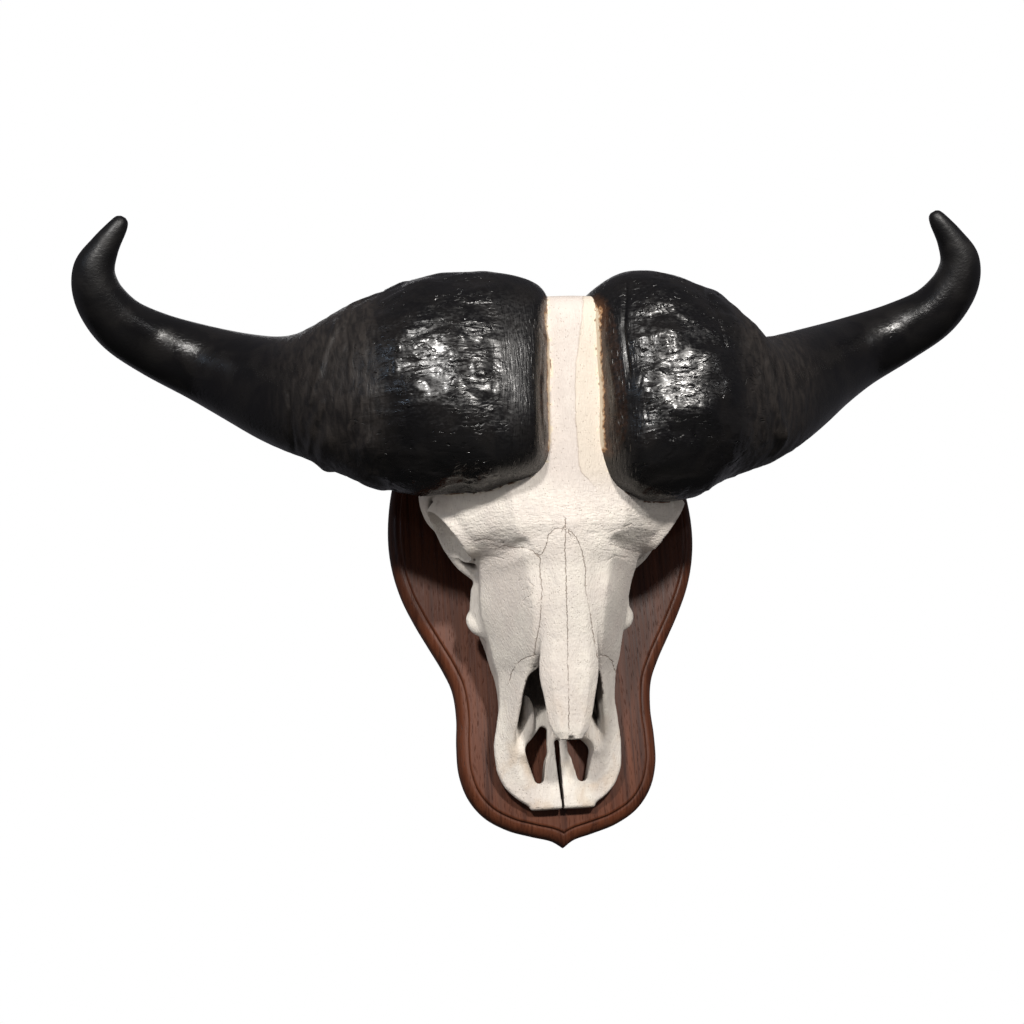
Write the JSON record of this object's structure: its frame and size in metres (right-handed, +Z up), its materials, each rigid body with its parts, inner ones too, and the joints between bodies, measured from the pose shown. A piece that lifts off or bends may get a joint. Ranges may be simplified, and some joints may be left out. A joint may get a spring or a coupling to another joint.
{
  "type": "cape buffalo skull wall trophy",
  "caption": "Bleached cape buffalo skull with black polished horns, mounted on a moulded walnut shield board that hangs on a wall.",
  "frame": {"origin": "on the back of the board, on its mid plane, halfway up", "axes": "+Z up, +X to the right as seen from the front, and +Y into the wall, so the trophy faces -Y"},
  "size_m": [0.9506, 0.2648, 0.6315],
  "materials": {
    "bleached_bone": "matt bleached bone, warm off-white with fine pores",
    "black_horn": "oiled black keratin, rough on the bosses and polished towards the tips",
    "tooth_enamel": "satin enamel stained ochre",
    "walnut": "satin varnish over reddish brown walnut",
    "brassed_steel": "pressed, satin",
    "zinc_screws": "zinc plated"
  },
  "bodies": {
    "root": {"skull": "bleached_bone", "horn_left": "black_horn", "horn_right": "black_horn", "tooth_left_1": "tooth_enamel", "tooth_left_2": "tooth_enamel", "tooth_left_3": "tooth_enamel", "tooth_left_4": "tooth_enamel", "tooth_left_5": "tooth_enamel", "tooth_left_6": "tooth_enamel", "tooth_right_1": "tooth_enamel", "tooth_right_2": "tooth_enamel", "tooth_right_3": "tooth_enamel", "tooth_right_4": "tooth_enamel", "tooth_right_5": "tooth_enamel", "tooth_right_6": "tooth_enamel", "plaque": "walnut", "hanger_plate": "brassed_steel", "hanger_screw_top": "zinc_screws", "hanger_screw_bottom": "zinc_screws", "skull_screw_top": "zinc_screws", "skull_screw_bottom": "zinc_screws"}
  },
  "joints": []
}
